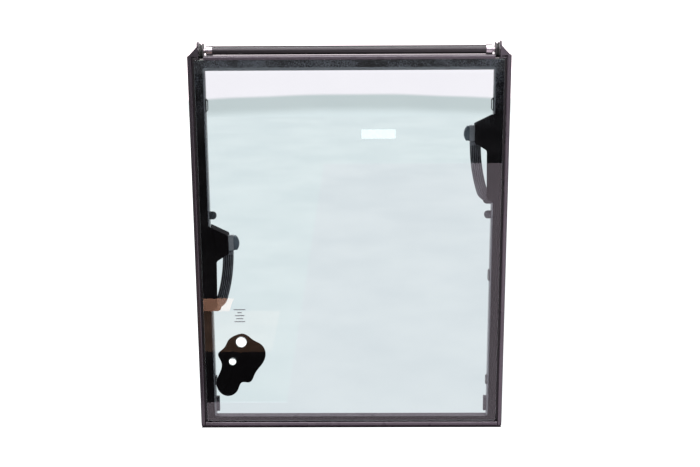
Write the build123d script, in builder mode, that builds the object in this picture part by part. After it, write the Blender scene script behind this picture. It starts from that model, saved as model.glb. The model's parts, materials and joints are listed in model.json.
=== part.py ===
"""Lift-up window sash of a machine cab, with its two grab handles and latches.

Millimetres. +X is to the right seen from outside, the outer face looks along -Y and +Z is up.
The origin is the middle of the bottom rail's underside, at half the frame's depth.
Pairs are modelled on the right-hand stile (+X) and mirrored for the left one.
"""

import os
from math import asin, degrees

from build123d import *

# Frame
sash_width = 880.0
sash_height = 1078.0
frame_depth = 38.0
section_wall = 2.5
lip_width = 11.5
stile_width = 44.0
seat_depth = 12.0
top_rail_height = 40.0
top_lip_height = 9.5
bottom_rail_height = 25.0
bottom_lip_height = 11.6
lip_radius = 3.0
rail_joint_gap = 1.0
roller_notch = 11.0

# Glass, its printed border and its bond line
glass_thickness = 6.0
glass_recess = 2.0
glass_side_gap = 7.0
glass_top_gap = 1.0
glass_bottom_gap = 3.4
glass_clearance = 2.0
glass_corner_radius = 4.0
print_thickness = 0.3
border_side = 21.5
border_top = 20.5
border_bottom = 12.0
border_corner_radius = 8.0
bond_margin = 3.5
bond_width = 12.0
bond_bottom_margin = 1.0
bond_bottom_width = 8.0
spindle_hole_radius = 15.0
fixing_hole_radius = 10.0
print_hole_margin = 0.6
bulge_margin = 1.0
bulge_top = 72.0
bulge_bottom = 194.0
spindle_hole_x = -316.0
spindle_hole_z = 259.0
fixing_hole_x = -343.0
fixing_hole_z = 199.0
label_width = 94.0
label_height = 26.0
label_thickness = 0.2
label_x = 80.0
label_drop = 214.0
mark_x = -318.0
mark_z = 340.0
mark_width = 34.0
mark_line = 3.0
mark_pitch = 9.0
mark_shares = (1.0, 0.35, 0.8, 0.6, 0.9)

# Corners of the border's bulge in front of a handle: inboard of the border's inner edge, above the
# middle of the release lever, and the radius of the corner
bulge_corners = (
    (0.0, 65.0, 6.0),
    (54.0, 38.5, 9.0),
    (55.5, -15.0, 6.0),
    (21.0, -38.0, 9.0),
    (18.5, -175.0, 12.0),
    (0.0, -187.0, 8.0),
)

# Points on the smooth edge of the printed patch around the two drilled holes
patch_outline = (
    (-317.5, 283.2), (-338.2, 275.7), (-353.3, 264.1), (-366.5, 240.5), (-384.5, 221.5),
    (-376.5, 197.5), (-380.5, 166.0), (-391.5, 139.3), (-387.8, 110.4), (-364.5, 91.8),
    (-331.3, 108.3), (-316.5, 134.0), (-297.5, 133.5), (-278.6, 161.5), (-256.4, 192.3),
    (-246.9, 223.6), (-257.0, 248.6), (-282.6, 265.0), (-302.4, 280.5),
)

# Top guide: cross tube, collars, rollers and ear brackets
axle_height = 14.5
tube_radius = 12.0
tube_wall = 2.0
tube_end_gap = 51.0
collar_width = 18.0
collar_radius = 13.5
collar_chamfer = 1.0
plug_length = 24.0
plug_nose = 6.7
plug_nose_radius = 7.0
plug_bore_depth = 20.0
roller_radius = 20.0
roller_width = 11.0
roller_chamfer = 1.0
roller_land = 1.0
groove_depth = 5.0
roller_side_play = 0.3
bush_wall = 2.0
axle_radius = 5.0
running_clearance = 0.05
washer_thickness = 2.2
washer_radius = 9.0
bolt_head_height = 6.4
bolt_head_flats = 16.0
bolt_chamfer = 0.8
ear_thickness = 3.5
ear_width = 36.0
ear_rise = 23.0
ear_corner_radius = 12.0
gusset_thickness = 3.0
gusset_reach = 25.0
grub_radius = 2.0
grub_slot_width = 0.6
grub_slot_length = 3.0
grub_slot_depth = 0.5

# Handles, measured from the middle of the release lever; drops are from the sash's top
right_handle_drop = 225.0
handle_stagger = 316.0
base_inset = 6.0
base_width = 34.0
base_thickness = 8.0
base_top = 50.0
base_bottom = 195.0
head_width = 71.0
head_depth = 56.0
head_low_side = 26.0
head_below = 27.0
head_wall = 3.0
head_crown = 22.0
head_edge = 2.0
head_low_radius = 3.0
head_side_radius = 4.0
head_shoulder_radius = 9.0
head_top_radius = 6.0
cover_thickness = 3.0
hook_slot_front = 22.0
hook_slot_rear = 6.0
foot_shoulder = 8.0
lever_neck = 20.0
tongue_length = 11.0
tongue_thickness = 6.0
tongue_half = 14.0
pad_round = 3.0
lever_thickness = 10.0
lever_height = 45.0
lever_clearance = 0.5
lever_hub_up = 10.0
lever_hub_down = 12.0
lever_hub_radius = 9.0
lever_reach = 72.0
pad_reach = 87.3
pad_half_height = 20.0
pad_thickness = 16.0
pad_top_inset = 8.5
pad_low_inset = 5.5
pivot_inset = 32.0
pivot_standoff = 38.0
pivot_radius = 4.0
hook_thickness = 5.0
hook_tail = 22.0
hook_tail_width = 4.0
spring_wire_radius = 0.7
spring_coil_radius = 6.5
spring_turns = 5
spring_pitch = 2.2
grip_width = 31.0
grip_depth = 22.0
grip_edge_radius = 8.8
core_width = 20.0
core_depth = 12.0
core_radius = 4.0
core_clearance = 0.2
grip_standoff = 33.0
grip_inset = 43.0
grip_long_radius = 462.0
grip_long_drop = 137.0
grip_end_radius = 24.0
grip_end_angle = 60.0
grip_tail = 12.0

# Corners of the latch hook's arm, from the centre of its pivot: outboard and towards the rear
hook_corners = (
    (0.0, -9.0), (22.0, -18.5), (33.0, -20.5), (39.0, -15.0), (39.0, -12.5),
    (33.5, -12.5), (28.0, -10.5), (7.0, 5.0), (0.0, 0.0),
)

# Small parts
screw_inset = 33.0
head_screw_rise = 30.0
plate_screw_drop = 95.0
foot_screw_drop = 184.0
screw_radius = 3.0
screw_head_radius = 5.5
screw_head_height = 3.5
screw_clearance = 0.25
screw_reach = 8.0
small_screw_radius = 2.0
small_screw_length = 14.0
small_head_radius = 3.6
small_head_height = 2.4
boss_radius = 4.5
boss_inset = 4.8
boss_low_inset = 7.8
boss_side_inset = 21.0
buffer_drop = 448.0
buffer_radius = 11.5
buffer_length = 19.0
buffer_dome = 9.0
stud_depth = 12.0
shoe_bottom = 32.0
shoe_top = 76.0
shoe_overhang = 7.0
shoe_width = 35.0
shoe_thickness = 14.0
shoe_chamfer = 2.0
shoe_screw_margin = 11.0
clip_thickness = 1.5
clip_width = 12.0
upper_clip_drop = 155.0
upper_clip_length = 38.0
upper_clip_stand = 6.0
middle_clip_drop = 643.0
middle_clip_length = 35.0
lower_clip_height = 120.0
lower_clip_length = 30.0
low_clip_stand = 4.5
seal_width = 9.0
seal_height = 8.0
seal_inset = 1.5
seal_joint_gap = 0.2

# Worked out from the sizes above
half_width = sash_width / 2
front = -frame_depth / 2
rear = frame_depth / 2
seat = front + seat_depth
stile_inner = half_width - stile_width
lip_inner = half_width - lip_width
notch_z = sash_height - roller_notch
top_rail_z = sash_height - top_rail_height
top_lip_z = sash_height - top_lip_height
glass_half = lip_inner - glass_side_gap
glass_top = top_lip_z - glass_top_gap
glass_bottom = bottom_lip_height + glass_bottom_gap
glass_front = front + glass_recess
glass_rear = glass_front + glass_thickness
bond_front = glass_rear + print_thickness
border_inner = glass_half - border_side
axle_z = sash_height + axle_height
tube_half = half_width - tube_end_gap
roller_inner = tube_half + plug_nose + roller_side_play
roller_outer = roller_inner + roller_width
washer_inner = roller_outer + roller_side_play
ear_inner = washer_inner + washer_thickness
ear_outer = ear_inner + ear_thickness

os.makedirs("parts", exist_ok=True)


def write(builder, name):
    """Label a finished piece and write it to parts/."""
    builder.part.label = name
    export_step(builder.part, f"parts/{name}.step")


def write_pair(right, name, drop=0.0):
    """Write the right-hand piece and its mirror image, the left one lowered by drop."""
    write(right, f"{name}_right")
    with BuildPart() as left:
        add(Pos(0, 0, -drop) * mirror(right.part, about=Plane.YZ, mode=Mode.PRIVATE))
    write(left, f"{name}_left")


def write_both(right, name, drop=0.0):
    """Write the right-hand solids and their mirror images as one group."""
    with BuildPart() as group:
        add(right.part)
        add(Pos(0, 0, -drop) * mirror(right.part, about=Plane.YZ, mode=Mode.PRIVATE))
    write(group, name)


def block(x, y, z, mode=Mode.ADD):
    """Rectangular block that fills the x, y and z ranges."""
    with Locations(((x[0] + x[1]) / 2, (y[0] + y[1]) / 2, (z[0] + z[1]) / 2)):
        Box(x[1] - x[0], y[1] - y[0], z[1] - z[0], mode=mode)


def rod_x(x, y, z, radius, mode=Mode.ADD):
    """Round bar along X over the x range."""
    with Locations(((x[0] + x[1]) / 2, y, z)):
        Cylinder(radius, x[1] - x[0], rotation=(0, 90, 0), mode=mode)


def rod_y(x, y, z, radius, mode=Mode.ADD):
    """Round bar along Y over the y range."""
    with Locations((x, (y[0] + y[1]) / 2, z)):
        Cylinder(radius, y[1] - y[0], rotation=(90, 0, 0), mode=mode)


def rod_z(x, y, z, radius, mode=Mode.ADD):
    """Round bar along Z over the z range."""
    with Locations((x, y, (z[0] + z[1]) / 2)):
        Cylinder(radius, z[1] - z[0], mode=mode)


def wall_plane(y):
    """Drawing plane facing the front: x to the right, z up, extruded towards the rear."""
    return Plane((0, y, 0), x_dir=(1, 0, 0), z_dir=(0, -1, 0))


# ---------------------------------------------------------------- frame
screw_x = half_width - screw_inset
handle_z = sash_height - right_handle_drop
buffer_z = sash_height - buffer_drop
head_screw_z = handle_z + head_screw_rise
plate_screw_z = handle_z - plate_screw_drop
foot_screw_z = handle_z - foot_screw_drop
base_screw_heights = (head_screw_z, plate_screw_z, foot_screw_z)
shoe_screw_heights = (shoe_bottom + shoe_screw_margin, shoe_top - shoe_screw_margin)

with BuildPart() as stile:
    block((lip_inner, half_width), (front, rear), (0, sash_height))
    fillet(stile.edges().filter_by(Axis.Z).group_by(Axis.Y)[0], lip_radius)
    block((lip_inner + section_wall, half_width - section_wall),
          (front + section_wall, rear - section_wall), (0, sash_height), mode=Mode.SUBTRACT)
    block((stile_inner, lip_inner), (seat, rear), (0, notch_z))
    block((stile_inner + section_wall, lip_inner - section_wall),
          (seat + section_wall, rear - section_wall), (0, notch_z), mode=Mode.SUBTRACT)
    rod_x((stile_inner, stile_inner + section_wall), (seat + rear) / 2, buffer_z,
          screw_radius + screw_clearance, mode=Mode.SUBTRACT)
right_stile_shape = stile.part

for side, drop in (("right", 0.0), ("left", handle_stagger)):
    with BuildPart() as handed_stile:
        add(right_stile_shape)
        for height in base_screw_heights:
            rod_y(screw_x, (rear - section_wall, rear), height - drop,
                  screw_radius + screw_clearance, mode=Mode.SUBTRACT)
        for height in shoe_screw_heights:
            rod_y(screw_x, (rear - section_wall, rear), height,
                  screw_radius + screw_clearance, mode=Mode.SUBTRACT)
        if side == "left":
            mirror(about=Plane.YZ, mode=Mode.REPLACE)
    write(handed_stile, f"stile_{side}")

with BuildPart() as top_rail:
    block((-stile_inner, stile_inner), (seat, rear), (top_rail_z, sash_height))
    block((-stile_inner, stile_inner), (front, seat), (top_lip_z, sash_height))
    fillet(top_rail.edges().filter_by(Axis.X).group_by(Axis.Z)[-1].sort_by(Axis.Y)[0], lip_radius)
    block((-stile_inner, stile_inner), (seat + section_wall, rear - section_wall),
          (top_rail_z + section_wall, sash_height - section_wall), mode=Mode.SUBTRACT)
write(top_rail, "top_rail")

with BuildPart() as bottom_rail:
    block((-stile_inner, stile_inner), (seat, rear), (0, bottom_rail_height))
    block((-lip_inner + rail_joint_gap, lip_inner - rail_joint_gap), (front, seat), (0, bottom_lip_height))
    fillet(bottom_rail.edges().filter_by(Axis.X).group_by(Axis.Y)[0], lip_radius)
    block((-stile_inner, stile_inner), (seat + section_wall, rear - section_wall),
          (section_wall, bottom_rail_height - section_wall), mode=Mode.SUBTRACT)
write(bottom_rail, "bottom_rail")

# ---------------------------------------------------------------- glass, prints and bond line
pane_centre_z = (glass_bottom + glass_top) / 2
pane_height = glass_top - glass_bottom

with BuildPart() as glass_pane:
    with BuildSketch(wall_plane(glass_front)):
        with Locations((0, pane_centre_z)):
            RectangleRounded(2 * glass_half, pane_height, glass_corner_radius)
        with Locations((spindle_hole_x, spindle_hole_z)):
            Circle(spindle_hole_radius, mode=Mode.SUBTRACT)
        with Locations((fixing_hole_x, fixing_hole_z)):
            Circle(fixing_hole_radius, mode=Mode.SUBTRACT)
    extrude(amount=-glass_thickness)
write(glass_pane, "glass_pane")

# Each handle has a bulge of the border in front of it, drawn here for the right-hand one.
bulge_outline = [(glass_half - bulge_margin, handle_z + bulge_top)]
bulge_outline += [(border_inner - inboard, handle_z + up) for inboard, up, _ in bulge_corners]
bulge_outline += [(glass_half - bulge_margin, handle_z - bulge_bottom)]
bulge_radii = [0.0, *(radius for _, _, radius in bulge_corners), 0.0]

with BuildSketch() as bulge:
    with BuildLine():
        FilletPolyline(*bulge_outline, radius=bulge_radii, close=True)
    make_face()

with BuildPart() as ceramic_border:
    with BuildSketch(wall_plane(glass_rear)):
        with Locations((0, pane_centre_z)):
            RectangleRounded(2 * glass_half, pane_height, glass_corner_radius)
        inner_bottom = glass_bottom + border_bottom
        inner_top = glass_top - border_top
        with Locations((0, (inner_bottom + inner_top) / 2)):
            RectangleRounded(2 * border_inner, inner_top - inner_bottom, border_corner_radius,
                             mode=Mode.SUBTRACT)
        add(bulge.sketch)
        add(Pos(0, -handle_stagger) * mirror(bulge.sketch, about=Plane.YZ, mode=Mode.PRIVATE))
    extrude(amount=-print_thickness)
write(ceramic_border, "ceramic_border")

with BuildPart() as wiper_print:
    with BuildSketch(wall_plane(glass_rear)):
        with BuildLine():
            Spline(*patch_outline, periodic=True)
        make_face()
        with Locations((spindle_hole_x, spindle_hole_z)):
            Circle(spindle_hole_radius + print_hole_margin, mode=Mode.SUBTRACT)
        with Locations((fixing_hole_x, fixing_hole_z)):
            Circle(fixing_hole_radius + print_hole_margin, mode=Mode.SUBTRACT)
    extrude(amount=-print_thickness)
write(wiper_print, "wiper_print")

with BuildPart() as glass_adhesive:
    bond_half = glass_half - bond_margin
    bond_top = glass_top - bond_margin
    bond_low = glass_bottom + bond_bottom_margin
    block((-bond_half, bond_half), (bond_front, seat), (bond_low, bond_top))
    block((-bond_half + bond_width, bond_half - bond_width), (bond_front, seat),
          (bond_low + bond_bottom_width, bond_top - bond_width), mode=Mode.SUBTRACT)
write(glass_adhesive, "glass_adhesive")

label_z = sash_height - label_drop
with BuildPart() as blank_label:
    block((label_x - label_width / 2, label_x + label_width / 2),
          (glass_front - label_thickness, glass_front),
          (label_z - label_height / 2, label_z + label_height / 2))
write(blank_label, "blank_label")

with BuildPart() as etched_mark:
    for row, share in enumerate(mark_shares):
        half_line = mark_width * share / 2
        row_z = mark_z + (len(mark_shares) // 2 - row) * mark_pitch
        block((mark_x - half_line, mark_x + half_line), (glass_front - label_thickness, glass_front),
              (row_z - mark_line / 2, row_z + mark_line / 2))
write(etched_mark, "etched_mark")

with BuildPart() as perimeter_seal:
    seal_outer = half_width - seal_inset
    seal_inner = seal_outer - seal_width
    seal_top = sash_height - seal_inset
    for sign in (-1, 1):
        block(sorted((sign * seal_inner, sign * seal_outer)), (rear, rear + seal_height),
              (seal_inset, seal_top))
    for low in (seal_inset, seal_top - seal_width):
        block((-seal_inner + seal_joint_gap, seal_inner - seal_joint_gap),
              (rear, rear + seal_height), (low, low + seal_width))
    fillet(perimeter_seal.faces().group_by(Axis.Y)[-1].edges(), seal_width / 4)
write(perimeter_seal, "perimeter_seal")

# ---------------------------------------------------------------- top guide
with BuildPart() as cross_tube:
    rod_x((-tube_half, tube_half), 0, axle_z, tube_radius)
    rod_x((-tube_half, tube_half), 0, axle_z, tube_radius - tube_wall, mode=Mode.SUBTRACT)
write(cross_tube, "cross_tube")

with BuildPart() as tube_plug:
    rod_x((tube_half - plug_length, tube_half), 0, axle_z, tube_radius - tube_wall)
    rod_x((tube_half, tube_half + plug_nose), 0, axle_z, plug_nose_radius)
    rod_x((tube_half + plug_nose - plug_bore_depth, tube_half + plug_nose), 0, axle_z,
          axle_radius + running_clearance, mode=Mode.SUBTRACT)
write_both(tube_plug, "tube_plugs")

with BuildPart() as shaft_collar:
    rod_x((tube_half - collar_width, tube_half), 0, axle_z, collar_radius)
    chamfer(shaft_collar.edges(), collar_chamfer)
    rod_x((tube_half - collar_width, tube_half), 0, axle_z, tube_radius, mode=Mode.SUBTRACT)
    rod_z(tube_half - collar_width / 2, 0, (axle_z, axle_z + collar_radius), grub_radius,
          mode=Mode.SUBTRACT)
write_pair(shaft_collar, "shaft_collar")

with BuildPart() as grub_screw:
    grub_top = (collar_radius**2 - grub_radius**2) ** 0.5
    rod_z(tube_half - collar_width / 2, 0, (axle_z + tube_radius, axle_z + grub_top), grub_radius)
    with Locations((tube_half - collar_width / 2, 0, axle_z + grub_top)):
        Box(grub_slot_width, grub_slot_length, 2 * grub_slot_depth, mode=Mode.SUBTRACT)
write_both(grub_screw, "collar_grub_screws")

roller_plane = Plane((0, 0, axle_z), x_dir=(1, 0, 0), z_dir=(0, -1, 0))
roller_axis = Axis((0, 0, axle_z), (1, 0, 0))
bush_radius = axle_radius + running_clearance + bush_wall
roller_middle = (roller_inner + roller_outer) / 2

with BuildPart() as guide_roller:
    with BuildSketch(roller_plane):
        with BuildLine():
            Polyline(
                (roller_inner, bush_radius),
                (roller_inner, roller_radius - roller_chamfer),
                (roller_inner + roller_chamfer, roller_radius),
                (roller_inner + roller_chamfer + roller_land, roller_radius),
                (roller_middle, roller_radius - groove_depth),
                (roller_outer - roller_chamfer - roller_land, roller_radius),
                (roller_outer - roller_chamfer, roller_radius),
                (roller_outer, roller_radius - roller_chamfer),
                (roller_outer, bush_radius),
                close=True,
            )
        make_face()
    revolve(axis=roller_axis)
write_pair(guide_roller, "guide_roller")

with BuildPart() as roller_bush:
    rod_x((roller_inner, roller_outer), 0, axle_z, bush_radius)
    rod_x((roller_inner, roller_outer), 0, axle_z, axle_radius + running_clearance, mode=Mode.SUBTRACT)
write_pair(roller_bush, "roller_bush")

with BuildPart() as axle_washer:
    rod_x((washer_inner, ear_inner), 0, axle_z, washer_radius)
    rod_x((washer_inner, ear_inner), 0, axle_z, axle_radius + screw_clearance, mode=Mode.SUBTRACT)
write_both(axle_washer, "axle_washers")

with BuildPart() as axle_bolt:
    rod_x((tube_half + plug_nose - plug_bore_depth, ear_outer), 0, axle_z, axle_radius)
    with BuildSketch(Plane((ear_outer, 0, axle_z), x_dir=(0, 1, 0), z_dir=(1, 0, 0))):
        RegularPolygon(bolt_head_flats / 2, 6, major_radius=False)
    extrude(amount=bolt_head_height)
    chamfer(axle_bolt.faces().sort_by(Axis.X)[-1].edges(), bolt_chamfer)
write_both(axle_bolt, "axle_bolts")

with BuildPart() as ear_bracket:
    block((ear_inner, ear_outer), (-ear_width / 2, ear_width / 2),
          (glass_top + glass_clearance, axle_z + ear_rise))
    fillet(ear_bracket.edges().filter_by(Axis.X).group_by(Axis.Z)[-1], ear_corner_radius)
    block((ear_inner, ear_outer), (seat, ear_width / 2), (notch_z, sash_height))
    block((ear_outer, lip_inner), (seat, rear), (notch_z, notch_z + gusset_thickness))
    with BuildSketch(wall_plane(-ear_width / 2)):
        with BuildLine():
            Polyline(
                (ear_outer, sash_height),
                (ear_outer, axle_z + ear_rise - ear_corner_radius),
                (ear_outer + gusset_reach, sash_height),
                close=True,
            )
        make_face()
    extrude(amount=-gusset_thickness)
    rod_x((ear_inner, ear_outer), 0, axle_z, axle_radius + screw_clearance, mode=Mode.SUBTRACT)
write_pair(ear_bracket, "ear_bracket")

# ---------------------------------------------------------------- handles
pivot_x = half_width - pivot_inset
pivot_y = rear + pivot_standoff
base_x = (stile_inner - base_inset, stile_inner - base_inset + base_width)
base_rear = rear + base_thickness
head_x = (base_x[1] - head_edge - head_width, base_x[1] - head_edge)
head_rear = rear + head_depth
floor_y = base_rear + head_wall
lever_y = (pivot_y - lever_thickness / 2, pivot_y + lever_thickness / 2)
lever_half = lever_height / 2
tongue_y = (pivot_y - tongue_thickness / 2, pivot_y + tongue_thickness / 2)
neck_x = pivot_x - lever_reach
grip_x = stile_inner - grip_inset
grip_y = rear + grip_standoff
hook_z = (handle_z - hook_thickness / 2, handle_z + hook_thickness / 2)
hub_z = (handle_z - lever_hub_down, handle_z + lever_hub_up)
head_z = (handle_z - head_below, handle_z + base_top)
foot_bottom = handle_z - base_bottom
boss_places = (
    (head_x[0] + boss_side_inset, handle_z + head_low_side),
    (head_x[1] - boss_inset, head_z[1] - boss_inset),
    (head_x[1] - boss_inset, head_z[0] + boss_low_inset),
)
head_outline = (
    (head_x[0], head_z[0]),
    (head_x[0], handle_z + head_low_side),
    (head_x[1] - head_crown, head_z[1]),
    (head_x[1], head_z[1]),
    (head_x[1], head_z[0]),
)
head_radii = (head_low_radius, head_side_radius, head_shoulder_radius, head_top_radius,
              head_low_radius)

with BuildSketch() as head_shape:
    with BuildLine():
        FilletPolyline(*head_outline, radius=head_radii, close=True)
    make_face()

# The grip's centre line: down from the head on a long arc, then a tight one to the foot.
with BuildLine(wall_plane(grip_y)) as sleeve_line:
    long_turn = degrees(asin(grip_long_drop / grip_long_radius))
    long_arc = JernArc((grip_x, head_z[0]), (0, -1), grip_long_radius, long_turn)
    JernArc(long_arc @ 1, long_arc % 1, grip_end_radius, grip_end_angle - long_turn)

sleeve_end = sleeve_line.wire() @ 1
end_direction = sleeve_line.wire() % 1
end_normal = Vector(-end_direction.Z, 0, end_direction.X)

with BuildLine() as core_line:
    add(sleeve_line.line)
    Line(sleeve_end, sleeve_end + end_direction * grip_tail)

foot_low = sleeve_end - end_normal * (grip_width / 2)
foot_high = sleeve_end + end_normal * (grip_width / 2 + foot_shoulder)
foot_run = (foot_low.Z - foot_bottom) / -end_direction.Z
foot_toe = foot_low + end_direction * foot_run
grip_plane = Plane((grip_x, grip_y, head_z[0]), x_dir=(1, 0, 0), z_dir=(0, 0, -1))

with BuildPart() as handle_body:
    block(base_x, (rear, base_rear), (foot_bottom, head_z[1]))
    fillet(handle_body.edges().filter_by(Axis.Y), head_wall)
    with BuildSketch(wall_plane(rear)):
        add(head_shape.sketch)
    extrude(amount=-head_depth)
    with BuildSketch(wall_plane(floor_y)):
        offset(head_shape.sketch, -head_wall)
    extrude(amount=-(head_rear - floor_y), mode=Mode.SUBTRACT)
    for boss_x, boss_z in boss_places:
        rod_y(boss_x, (floor_y, head_rear), boss_z, boss_radius)
    block((head_x[0], head_x[0] + head_wall), (lever_y[0] - lever_clearance, head_rear),
          (handle_z - lever_half - lever_clearance, handle_z + lever_half + lever_clearance),
          mode=Mode.SUBTRACT)
    block((head_x[1] - head_wall, head_x[1]), (pivot_y - hook_slot_front, pivot_y + hook_slot_rear),
          (hook_z[0] - lever_clearance, hook_z[1] + lever_clearance), mode=Mode.SUBTRACT)
    with BuildSketch(wall_plane(rear)):
        with BuildLine():
            Polyline(
                (foot_low.X, foot_low.Z),
                (foot_toe.X, foot_bottom),
                (base_x[1], foot_bottom),
                (base_x[1], foot_high.Z),
                (foot_high.X, foot_high.Z),
                close=True,
            )
        make_face()
    extrude(amount=-(grip_standoff + grip_depth / 2))
    with BuildSketch(grip_plane):
        RectangleRounded(core_width, core_depth, core_radius)
    sweep(path=core_line.wire())
    rod_y(screw_x, (base_rear, head_rear), foot_screw_z, screw_head_radius + screw_clearance,
          mode=Mode.SUBTRACT)
    for screw_z in base_screw_heights:
        rod_y(screw_x, (rear, floor_y), screw_z, screw_radius + screw_clearance, mode=Mode.SUBTRACT)
    for boss_x, boss_z in boss_places:
        rod_y(boss_x, (head_rear - small_screw_length, head_rear), boss_z, small_screw_radius,
              mode=Mode.SUBTRACT)
    rod_z(pivot_x, pivot_y, head_z, pivot_radius, mode=Mode.SUBTRACT)
write_pair(handle_body, "handle_body", handle_stagger)

with BuildPart() as grip_sleeve:
    with BuildSketch(grip_plane):
        RectangleRounded(grip_width, grip_depth, grip_edge_radius)
        RectangleRounded(core_width + 2 * core_clearance, core_depth + 2 * core_clearance,
                         core_radius, mode=Mode.SUBTRACT)
    sweep(path=sleeve_line.wire())
write_pair(grip_sleeve, "grip_sleeve", handle_stagger)

with BuildPart() as handle_cover:
    with BuildSketch(wall_plane(head_rear)):
        add(head_shape.sketch)
        with Locations(*boss_places):
            Circle(small_screw_radius + screw_clearance, mode=Mode.SUBTRACT)
    extrude(amount=-cover_thickness)
    fillet(handle_cover.faces().sort_by(Axis.Y)[-1].outer_wire().edges(), cover_thickness / 2)
write_pair(handle_cover, "handle_cover", handle_stagger)

cover_rear = head_rear + cover_thickness
with BuildPart() as cover_screw:
    for boss_x, boss_z in boss_places:
        rod_y(boss_x, (head_rear - small_screw_length, cover_rear), boss_z, small_screw_radius)
        rod_y(boss_x, (cover_rear, cover_rear + small_head_height), boss_z, small_head_radius)
write_both(cover_screw, "cover_screws", handle_stagger)

with BuildPart() as handle_screw:
    for seat_y, screw_z in zip((floor_y, base_rear, base_rear), base_screw_heights):
        rod_y(screw_x, (rear - screw_reach, seat_y), screw_z, screw_radius)
        rod_y(screw_x, (seat_y, seat_y + screw_head_height), screw_z, screw_head_radius)
write_both(handle_screw, "handle_screws", handle_stagger)

with BuildPart() as release_lever:
    with BuildSketch(wall_plane(lever_y[0])):
        with BuildLine():
            Polyline(
                (neck_x, handle_z - lever_half),
                (neck_x, handle_z + lever_half),
                (neck_x + lever_neck, handle_z + lever_half),
                (pivot_x - hook_tail, hub_z[1]),
                (pivot_x, hub_z[1]),
                (pivot_x, hub_z[0]),
                (pivot_x - hook_tail, hub_z[0]),
                (neck_x + lever_neck, handle_z - lever_half),
                close=True,
            )
        make_face()
    extrude(amount=-lever_thickness)
    block((neck_x - tongue_length, neck_x), tongue_y, (handle_z - tongue_half, handle_z + tongue_half))
    rod_z(pivot_x, pivot_y, hub_z, lever_hub_radius)
    rod_z(pivot_x, pivot_y, (hook_z[0] - running_clearance, hook_z[1] + running_clearance),
          lever_hub_radius + lever_clearance, mode=Mode.SUBTRACT)
    tail_half = hook_tail_width / 2 + running_clearance
    block((pivot_x - hook_tail - running_clearance, pivot_x), (pivot_y - tail_half, pivot_y + tail_half),
          (hook_z[0] - running_clearance, hook_z[1] + running_clearance), mode=Mode.SUBTRACT)
    rod_z(pivot_x, pivot_y, hub_z, pivot_radius + running_clearance, mode=Mode.SUBTRACT)
write_pair(release_lever, "release_lever", handle_stagger)

pad_tip = pivot_x - pad_reach
with BuildPart() as thumb_pad:
    with BuildSketch(wall_plane(pivot_y - pad_thickness / 2)):
        with BuildLine():
            ThreePointArc(
                (pad_tip + pad_top_inset, handle_z + pad_half_height),
                (pad_tip, handle_z),
                (pad_tip + pad_low_inset, handle_z - pad_half_height),
            )
            Polyline(
                (pad_tip + pad_low_inset, handle_z - pad_half_height),
                (neck_x, handle_z - pad_half_height),
                (neck_x, handle_z + pad_half_height),
                (pad_tip + pad_top_inset, handle_z + pad_half_height),
            )
        make_face()
    extrude(amount=-pad_thickness)
    fillet(thumb_pad.faces().group_by(Axis.Y)[0].edges().filter_by(GeomType.CIRCLE), pad_round)
    fillet(thumb_pad.faces().group_by(Axis.Y)[-1].edges().filter_by(GeomType.CIRCLE), pad_round)
    block((neck_x - tongue_length, neck_x), tongue_y, (handle_z - tongue_half, handle_z + tongue_half),
          mode=Mode.SUBTRACT)
write_pair(thumb_pad, "thumb_pad", handle_stagger)

with BuildPart() as latch_hook:
    with BuildSketch(Plane.XY.offset(hook_z[0])):
        with BuildLine():
            Polyline(*((pivot_x + out, pivot_y + back) for out, back in hook_corners), close=True)
        make_face()
        with Locations((pivot_x, pivot_y)):
            Circle(lever_hub_radius)
        with Locations((pivot_x - hook_tail / 2, pivot_y)):
            Rectangle(hook_tail, hook_tail_width)
        with Locations((pivot_x, pivot_y)):
            Circle(pivot_radius + running_clearance, mode=Mode.SUBTRACT)
    extrude(amount=hook_thickness)
write_pair(latch_hook, "latch_hook", handle_stagger)

with BuildPart() as lever_pivot:
    rod_z(pivot_x, pivot_y, head_z, pivot_radius)
write_pair(lever_pivot, "lever_pivot", handle_stagger)

spring_z = hub_z[1] + lever_clearance + spring_wire_radius
with BuildPart() as return_spring:
    with BuildLine() as coil:
        Helix(spring_pitch, spring_pitch * spring_turns, spring_coil_radius,
              center=(pivot_x, pivot_y, spring_z))
    with BuildSketch(Plane(coil.line @ 0, z_dir=coil.line % 0)):
        Circle(spring_wire_radius)
    sweep(path=coil.line, is_frenet=True)
write_pair(return_spring, "return_spring", handle_stagger)

# ---------------------------------------------------------------- small parts on the stiles
stile_mid_y = (seat + rear) / 2

with BuildPart() as rubber_buffer:
    rod_x((stile_inner - buffer_length, stile_inner), stile_mid_y, buffer_z, buffer_radius)
    fillet(rubber_buffer.edges().group_by(Axis.X)[0], buffer_dome)
    rod_x((stile_inner - stud_depth, stile_inner), stile_mid_y, buffer_z, screw_radius,
          mode=Mode.SUBTRACT)
write_pair(rubber_buffer, "rubber_buffer")

with BuildPart() as buffer_stud:
    rod_x((stile_inner - stud_depth, stile_inner + screw_reach), stile_mid_y, buffer_z, screw_radius)
write_both(buffer_stud, "buffer_studs")

shoe_x = (stile_inner - shoe_overhang, stile_inner - shoe_overhang + shoe_width)
shoe_rear = rear + shoe_thickness
shoe_seat = shoe_rear - screw_head_height - lever_clearance
with BuildPart() as guide_shoe:
    block(shoe_x, (rear, shoe_rear), (shoe_bottom, shoe_top))
    chamfer(guide_shoe.faces().sort_by(Axis.Y)[-1].edges(), shoe_chamfer)
    for screw_z in shoe_screw_heights:
        rod_y(screw_x, (rear, shoe_seat), screw_z, screw_radius + screw_clearance, mode=Mode.SUBTRACT)
        rod_y(screw_x, (shoe_seat, shoe_rear), screw_z, screw_head_radius + screw_clearance,
              mode=Mode.SUBTRACT)
write_pair(guide_shoe, "guide_shoe")

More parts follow.
